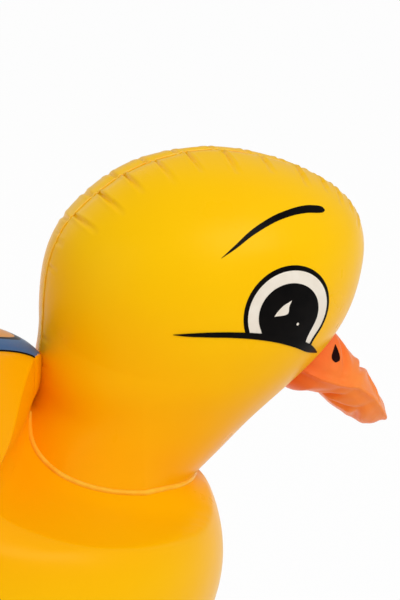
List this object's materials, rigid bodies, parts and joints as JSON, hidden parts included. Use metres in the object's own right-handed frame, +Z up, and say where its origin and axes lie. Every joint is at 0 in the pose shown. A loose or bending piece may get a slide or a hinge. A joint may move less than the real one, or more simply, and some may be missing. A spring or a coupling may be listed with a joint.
{
  "type": "floating chlorine dispenser",
  "caption": "Inflatable vinyl duck float for a pool or spa, with a tablet canister, turning flow collar, screw-off weighted base and inflation valve under its belly.",
  "frame": {"origin": "centre of the base cap's flat underside, on the canister axis", "axes": "+X where the duck looks, +Y its left side, +Z up along the canister axis"},
  "size_m": [0.4418, 0.265, 0.3646],
  "materials": {
    "yellow_vinyl": "satin-gloss printed PVC film",
    "orange_vinyl": "satin-gloss PVC film, creased",
    "blue_vinyl": "satin-gloss printed PVC film",
    "clear_vinyl": "moulded soft PVC, milky",
    "socket_plastic": "injection-moulded, fine matte",
    "white_plastic": "injection-moulded, semi-gloss",
    "blue_plastic": "injection-moulded, semi-gloss",
    "seal_rubber": "moulded elastomer",
    "ballast_iron": "coated",
    "steel": "stainless"
  },
  "bodies": {
    "float": {"head_right_panel": "yellow_vinyl", "head_left_panel": "yellow_vinyl", "beak_upper_panel": "orange_vinyl", "beak_lower_panel": "orange_vinyl", "body_right_panel": "yellow_vinyl", "body_left_panel": "yellow_vinyl", "back_panel": "blue_vinyl", "bottom_panel": "yellow_vinyl", "valve_seat": "clear_vinyl", "valve_strap": "clear_vinyl", "tether_tab": "yellow_vinyl", "tether_eyelet": "steel", "socket": "socket_plastic"},
    "canister": {"canister": "white_plastic", "canister_crown": "white_plastic", "socket_seal": "seal_rubber"},
    "lock_ring": {"lock_ring": "blue_plastic"},
    "flow_collar": {"flow_collar": "blue_plastic"},
    "tablet_grid": {"tablet_grid": "white_plastic"},
    "base_cap": {"base_cap": "white_plastic", "cap_seal": "seal_rubber", "ballast_ring": "ballast_iron", "ballast_cover": "white_plastic", "cover_screws": "steel"},
    "valve_plug": {"valve_plug": "clear_vinyl"},
    "valve_flap": {"valve_flap": "clear_vinyl"}
  },
  "joints": [
    {"name": "canister_pull", "type": "slide", "parent": "float", "child": "canister", "axis": [0, 0, -1], "range_m": [0, 0.06]},
    {"name": "lock_ring_turn", "type": "hinge", "parent": "canister", "child": "lock_ring", "pos_m": [0, 0, 0.067], "axis": [0, 0, 1], "range_deg": [0, 120]},
    {"name": "flow_collar_turn", "type": "hinge", "parent": "canister", "child": "flow_collar", "pos_m": [0, 0, 0.045], "axis": [0, 0, 1], "range_deg": [-15, 15]},
    {"name": "refill_pull", "type": "slide", "parent": "canister", "child": "tablet_grid", "axis": [0, 0, -1], "range_m": [0, 0.05]},
    {"name": "base_cap_turn", "type": "hinge", "parent": "tablet_grid", "child": "base_cap", "pos_m": [0, 0, 0.015], "axis": [0, 0, 1], "range_deg": [0, 120]},
    {"name": "valve_plug_pull", "type": "slide", "parent": "float", "child": "valve_plug", "axis": [0, 0, -1], "range_m": [0, 0.014]},
    {"name": "valve_flap_open", "type": "hinge", "parent": "float", "child": "valve_flap", "pos_m": [-0.0975, 0, 0.0926], "axis": [0, -1, 0], "range_deg": [0, 40]}
  ]
}
